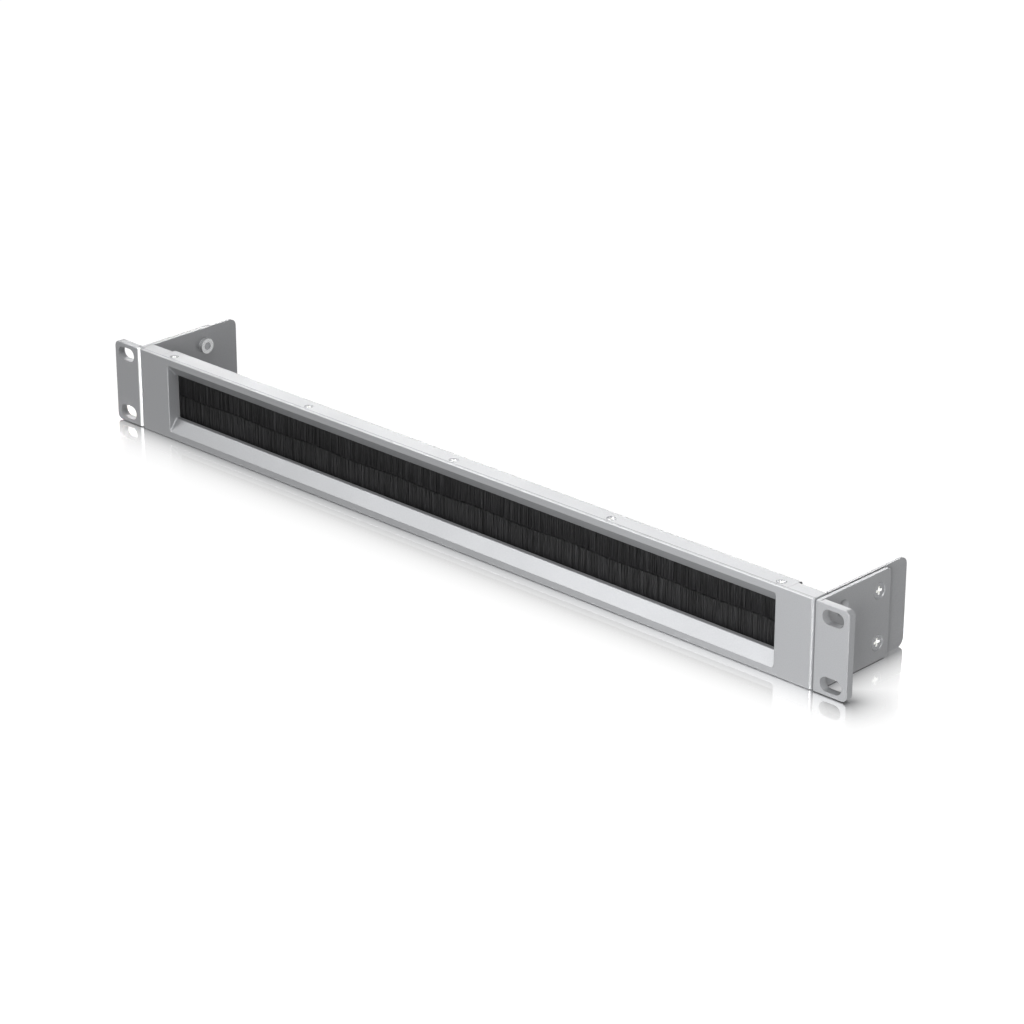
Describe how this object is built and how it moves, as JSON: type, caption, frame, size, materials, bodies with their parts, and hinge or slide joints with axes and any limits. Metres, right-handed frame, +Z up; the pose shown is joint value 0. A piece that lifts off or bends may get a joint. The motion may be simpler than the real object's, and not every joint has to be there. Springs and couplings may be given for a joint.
{
  "type": "rack brush strip panel",
  "caption": "Low rack panel with side ears and a long window closed by facing bristle strips, for passing cables through the front of a rack.",
  "frame": {"origin": "middle of the four rack slots, on the front plane of the ears and the panel", "axes": "+X to the right seen from the front, along the rack's width; +Y from the front to the back, so the face looks along -Y; +Z up"},
  "size_m": [0.4826, 0.0646, 0.0436],
  "materials": {
    "panel_paint": "satin silver paint on folded steel sheet",
    "ear_paint": "satin silver paint on steel plate",
    "galvanised_steel": "dull galvanised steel strip",
    "zinc_steel": "bright zinc-plated steel",
    "screw_steel": "nickel-plated steel",
    "nylon_bristle": "matt black nylon filament"
  },
  "bodies": {
    "root": {"front_panel": "panel_paint", "rear_frame": "panel_paint", "ear_right": "ear_paint", "ear_left": "ear_paint", "brush_channel_upper": "galvanised_steel", "brush_channel_lower": "galvanised_steel", "brush_wire_upper": "galvanised_steel", "brush_wire_lower": "galvanised_steel", "bristles_upper": "nylon_bristle", "bristles_lower": "nylon_bristle", "clinch_nut_right_upper": "zinc_steel", "clinch_nut_right_lower": "zinc_steel", "clinch_nut_left_upper": "zinc_steel", "clinch_nut_left_lower": "zinc_steel", "ear_screw_right_upper": "screw_steel", "ear_screw_right_lower": "screw_steel", "ear_screw_left_upper": "screw_steel", "ear_screw_left_lower": "screw_steel", "frame_screw_top_1": "screw_steel", "frame_screw_top_2": "screw_steel", "frame_screw_top_3": "screw_steel", "frame_screw_top_4": "screw_steel", "frame_screw_top_5": "screw_steel", "frame_screw_bottom_1": "screw_steel", "frame_screw_bottom_2": "screw_steel", "frame_screw_bottom_3": "screw_steel", "frame_screw_bottom_4": "screw_steel", "frame_screw_bottom_5": "screw_steel"}
  },
  "joints": []
}
